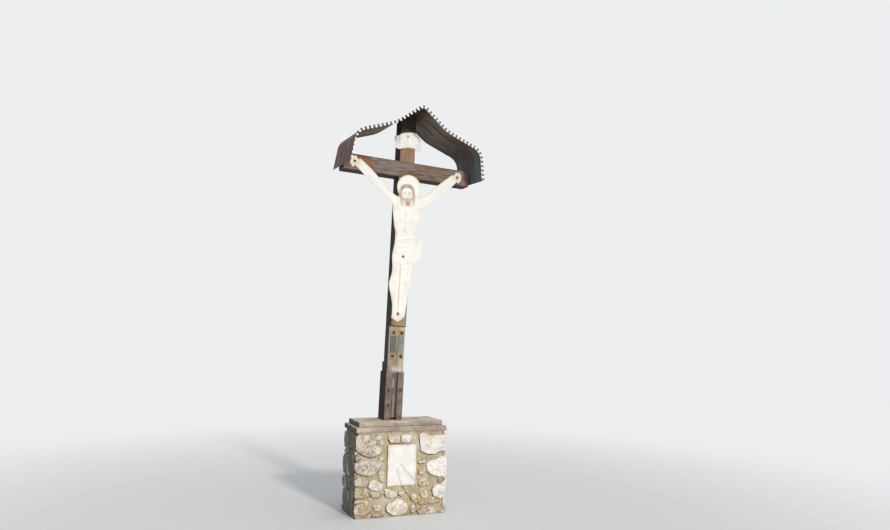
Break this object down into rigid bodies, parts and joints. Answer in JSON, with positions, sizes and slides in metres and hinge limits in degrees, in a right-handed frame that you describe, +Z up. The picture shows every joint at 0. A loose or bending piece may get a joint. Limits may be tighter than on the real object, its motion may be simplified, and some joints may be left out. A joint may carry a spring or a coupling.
{
  "type": "wayside cross with canopy on a rubble plinth",
  "caption": "Timber wayside cross with a flat painted sheet figure and a bell-curved sheet canopy, standing in steel channels on a rubble plinth with a stepped coping and a blank plaque.",
  "frame": {"origin": "middle of the plinth's foot, on the ground", "axes": "+Z up, the figure faces -Y, +X to the viewer's right"},
  "size_m": [1.5327, 0.6893, 4.2018],
  "materials": {
    "rubble_stone": "rough pale rubble in tan mortar",
    "coping_stone": "weathered tan stone",
    "marble": "pale veined marble, satin",
    "channel_steel": "mauve-brown paint over rust",
    "rusty_iron": "rusty",
    "lower_timber": "newer timber, yellow-brown and greying",
    "upper_timber": "old weathered brown timber",
    "strap_steel": "dull galvanised",
    "canopy_paint": "dark brown paint, streaked",
    "trim_white": "white paint",
    "trim_dark": "dark brown paint",
    "scroll_paint": "white paint",
    "figure_paint": "cream paint with soft brown brushwork",
    "nail_iron": "dark iron"
  },
  "bodies": {
    "root": {"plinth_masonry": "rubble_stone", "lower_coping": "coping_stone", "upper_coping": "coping_stone", "plaque": "marble", "left_channel": "channel_steel", "right_channel": "channel_steel", "left_channel_front_screws": "rusty_iron", "right_channel_front_screw": "rusty_iron", "left_channel_back_screws": "rusty_iron", "right_channel_back_screw": "rusty_iron", "lower_post": "lower_timber", "upper_post": "upper_timber", "front_left_strap": "strap_steel", "front_right_strap": "strap_steel", "back_left_strap": "strap_steel", "back_right_strap": "strap_steel", "splice_bolts": "rusty_iron", "splice_front_washers": "rusty_iron", "splice_back_washers": "rusty_iron", "splice_nuts": "rusty_iron", "crossbeam": "upper_timber", "canopy_sheet": "canopy_paint", "trim_strip": "trim_white", "inward_teeth": "trim_white", "outward_teeth": "trim_dark", "left_flank_nails": "nail_iron", "right_flank_nails": "nail_iron", "scroll": "scroll_paint", "scroll_screw": "nail_iron", "figure": "figure_paint", "left_hand_nail": "nail_iron", "right_hand_nail": "nail_iron", "loincloth_nail": "nail_iron", "feet_nail": "nail_iron"}
  },
  "joints": []
}
